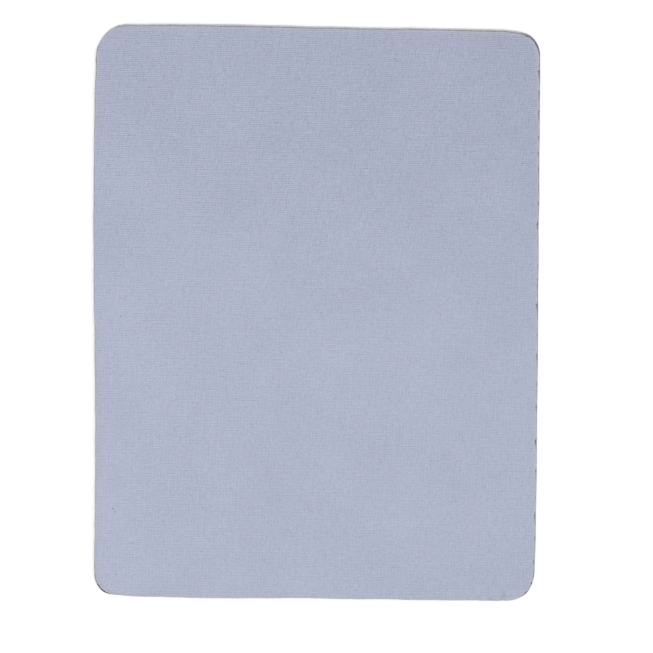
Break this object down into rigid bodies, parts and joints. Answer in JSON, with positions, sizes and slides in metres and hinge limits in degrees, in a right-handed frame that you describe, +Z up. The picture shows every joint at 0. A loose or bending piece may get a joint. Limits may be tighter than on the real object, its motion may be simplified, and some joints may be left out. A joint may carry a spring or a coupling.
{
  "type": "mouse pad",
  "caption": "Thin rounded rectangular mouse pad: woven cloth face bonded to a sponge rubber sheet with a non-slip underside, lies flat on a desk.",
  "frame": {"origin": "middle of the underside, on the desk", "axes": "+X to the right across the pad, +Y along the long sides to the back edge, +Z up out of the cloth face"},
  "size_m": [0.2, 0.2598, 0.003],
  "materials": {
    "cloth": "matte",
    "film": "satin",
    "sponge": "matte",
    "grip": "matte"
  },
  "bodies": {
    "root": {"cloth_surface": "cloth", "adhesive_film": "film", "sponge_core": "sponge", "grip_base": "grip"}
  },
  "joints": []
}
